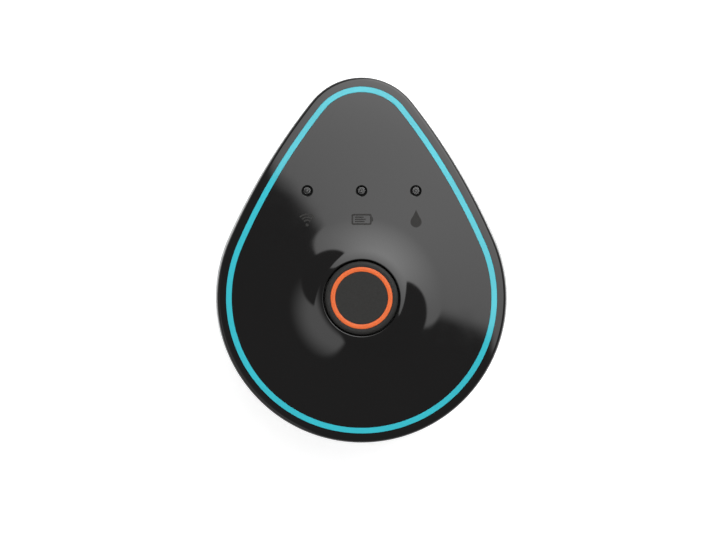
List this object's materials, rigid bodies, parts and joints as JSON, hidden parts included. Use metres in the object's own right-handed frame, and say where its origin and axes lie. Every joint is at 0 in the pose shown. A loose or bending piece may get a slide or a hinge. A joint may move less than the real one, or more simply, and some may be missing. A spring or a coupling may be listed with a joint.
{
  "type": "irrigation valve control unit",
  "caption": "Drop-shaped battery control unit for an irrigation valve, with a press button in a raised collar, status lights, a battery drawer and a valve socket in its back.",
  "frame": {"origin": "on the back plane, under the middle of the unit's box", "axes": "+Z out of the face, +Y towards the drop's tip, +X to the right seen from the front"},
  "size_m": [0.08, 0.1, 0.0412],
  "materials": {
    "face_black": "polished moulded plastic",
    "line_cyan": "glossy inlaid line",
    "window_clear": "frosted light guide",
    "seal_rubber": "matte",
    "housing_grey": "fine satin texture",
    "screw_steel": "plain stainless",
    "insert_brass": "plain",
    "lead_cover": "soft insulation",
    "membrane": "white membrane",
    "board_green": "solder mask",
    "led_package": "white package",
    "metal_can": "tinned",
    "chip_black": "matte",
    "capacitor_can": "plain",
    "carrier_black": "matte",
    "contact_nickel": "nickel plated",
    "button_grey": "matte, slightly soft",
    "ring_orange": "satin translucent",
    "battery_jacket": "lacquered jacket"
  },
  "bodies": {
    "housing": {"front_cover": "face_black", "outline_ring": "line_cyan", "led_window_left": "window_clear", "led_window_centre": "window_clear", "led_window_right": "window_clear", "housing_gasket": "seal_rubber", "rear_housing": "housing_grey", "housing_screws": "screw_steel", "valve_inserts": "insert_brass", "valve_socket_seal": "seal_rubber", "valve_pins": "insert_brass", "valve_leads": "lead_cover", "vent_membrane": "membrane", "circuit_board": "board_green", "board_screws": "screw_steel", "status_led_left": "led_package", "status_led_centre": "led_package", "status_led_right": "led_package", "radio_module": "metal_can", "microcontroller": "chip_black", "clock_crystal": "metal_can", "storage_capacitor": "capacitor_can", "power_coil": "chip_black", "board_passives": "chip_black", "button_contacts": "insert_brass", "button_boot": "seal_rubber", "contact_carrier": "carrier_black", "battery_contacts": "contact_nickel"},
    "control_button": {"button_cap": "button_grey", "button_ring": "ring_orange", "contact_pill": "seal_rubber"},
    "battery_drawer": {"battery_drawer": "housing_grey", "drawer_seal": "seal_rubber", "battery_case": "battery_jacket", "battery_terminals": "contact_nickel"}
  },
  "joints": [
    {"name": "control_button_press", "type": "slide", "parent": "housing", "child": "control_button", "axis": [0, 0, -1], "range_m": [0, 0.0009], "stiffness_N_per_m": 2200, "deforming": ["button_boot"]},
    {"name": "battery_drawer_slide", "type": "slide", "parent": "housing", "child": "battery_drawer", "axis": [0, -1, 0], "range_m": [0, 0.048]}
  ]
}
